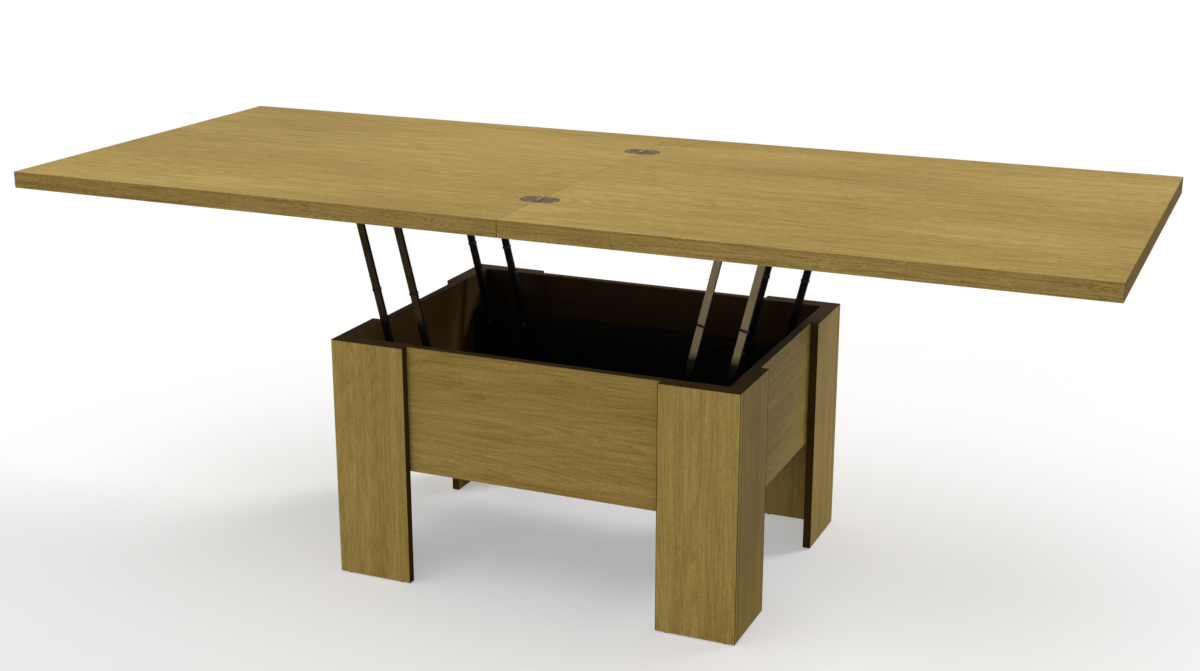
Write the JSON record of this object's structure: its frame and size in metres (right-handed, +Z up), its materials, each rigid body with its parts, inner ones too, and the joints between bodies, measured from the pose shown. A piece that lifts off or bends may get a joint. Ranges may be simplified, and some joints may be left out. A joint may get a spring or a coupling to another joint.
{
  "type": "extending dining table",
  "caption": "Extending table whose oak top opens out at hinges across its middle, and folds and swings down on lift arms onto a box base with board legs.",
  "frame": {"origin": "on the floor under the middle of the base", "axes": "+X along the opened top, from the main leaf to the folding leaf; +Z up"},
  "size_m": [2.1, 0.85, 0.7826],
  "materials": {
    "oak_laminate_top": "matt oak laminate, grain along the top",
    "oak_laminate_base": "matt oak laminate",
    "dark_edge_band": "dark brown edge band",
    "black_plate": "black powder coat",
    "arm_bar": "brown-grey coat, slightly glossy",
    "black_bracket": "black powder coat",
    "hinge_pewter": "pewter-grey plated",
    "nylon": "black nylon",
    "glide_plastic": "brown moulded plastic",
    "dark_steel": "blackened steel",
    "bright_steel": "zinc-plated"
  },
  "bodies": {
    "base": {"back_apron": "oak_laminate_base", "back_left_leg_face": "oak_laminate_base", "back_left_leg_side": "oak_laminate_base", "back_lift_plate": "black_plate", "back_right_leg_face": "oak_laminate_base", "back_right_leg_side": "oak_laminate_base", "box_floor": "oak_laminate_base", "foot_glides": "glide_plastic", "front_apron": "oak_laminate_base", "front_left_leg_face": "oak_laminate_base", "front_left_leg_side": "oak_laminate_base", "front_lift_plate": "black_plate", "front_right_leg_face": "oak_laminate_base", "front_right_leg_side": "oak_laminate_base", "left_apron": "oak_laminate_base", "leg_edge_bands": "dark_edge_band", "leg_screws": "bright_steel", "pivot_bushes": "nylon", "plate_screws": "bright_steel", "right_apron": "oak_laminate_base", "rim_bands": "dark_edge_band"},
    "left_outer_arms": {"left_outer_cross_shaft": "black_bracket", "left_outer_guide_pins": "bright_steel", "left_outer_joint_studs": "dark_steel", "left_outer_lower_bars": "arm_bar", "left_outer_upper_bars": "arm_bar"},
    "left_inner_arms": {"left_inner_guide_pins": "bright_steel", "left_inner_joint_studs": "dark_steel", "left_inner_lower_bars": "arm_bar", "left_inner_pivot_pins": "bright_steel", "left_inner_upper_bars": "arm_bar"},
    "main_leaf": {"back_main_bracket": "black_bracket", "front_main_bracket": "black_bracket", "hinge_pins": "bright_steel", "main_bracket_screws": "bright_steel", "main_leaf_board": "oak_laminate_top", "main_leaf_edge_bands": "oak_laminate_top", "main_leaf_hinge_plates": "hinge_pewter", "main_leaf_hinge_screws": "bright_steel", "main_pivot_pins": "bright_steel"},
    "folding_leaf": {"folding_leaf_board": "oak_laminate_top", "folding_leaf_edge_bands": "oak_laminate_top", "folding_leaf_hinge_plates": "hinge_pewter", "folding_leaf_hinge_screws": "bright_steel"},
    "right_outer_arms": {"right_outer_cross_shaft": "black_bracket", "right_outer_guide_pins": "bright_steel", "right_outer_joint_studs": "dark_steel", "right_outer_lower_bars": "arm_bar", "right_outer_upper_bars": "arm_bar"},
    "right_inner_arms": {"right_inner_guide_pins": "bright_steel", "right_inner_joint_studs": "dark_steel", "right_inner_lower_bars": "arm_bar", "right_inner_pivot_pins": "bright_steel", "right_inner_upper_bars": "arm_bar"},
    "right_carrier": {"back_support_rail": "black_bracket", "carrier_cross_bar": "black_bracket", "carrier_pivot_pins": "bright_steel", "front_support_rail": "black_bracket", "slide_pads": "nylon"}
  },
  "joints": [
    {"name": "lift", "type": "hinge", "parent": "base", "child": "left_outer_arms", "pos_m": [-0.30945, 0, 0.29], "axis": [0, 1, 0], "range_deg": [0, 80.42]},
    {"name": "left_inner_swing", "type": "hinge", "parent": "base", "child": "left_inner_arms", "pos_m": [-0.22725, 0, 0.29], "axis": [0, 1, 0], "range_deg": [0, 80.42]},
    {"name": "main_leaf_level", "type": "hinge", "parent": "left_outer_arms", "child": "main_leaf", "pos_m": [-0.41641, 0, 0.732], "axis": [0, 1, 0], "range_deg": [-80.42, 0]},
    {"name": "leaf_fold", "type": "hinge", "parent": "main_leaf", "child": "folding_leaf", "pos_m": [0, 0, 0.78025], "axis": [0, -1, 0], "range_deg": [0, 180]},
    {"name": "right_outer_swing", "type": "hinge", "parent": "base", "child": "right_outer_arms", "pos_m": [0.30945, 0, 0.29], "axis": [0, 1, 0], "range_deg": [-80.42, 0]},
    {"name": "right_inner_swing", "type": "hinge", "parent": "base", "child": "right_inner_arms", "pos_m": [0.22725, 0, 0.29], "axis": [0, 1, 0], "range_deg": [-80.42, 0]},
    {"name": "carrier_level", "type": "hinge", "parent": "right_outer_arms", "child": "right_carrier", "pos_m": [0.41641, 0, 0.732], "axis": [0, 1, 0], "range_deg": [0, 80.42]}
  ],
  "couplings": [
    {"joint": "left_inner_swing", "follows": "lift", "ratio": 1},
    {"joint": "main_leaf_level", "follows": "lift", "ratio": -1},
    {"joint": "right_outer_swing", "follows": "lift", "ratio": -1},
    {"joint": "right_inner_swing", "follows": "lift", "ratio": -1},
    {"joint": "carrier_level", "follows": "lift", "ratio": 1}
  ]
}
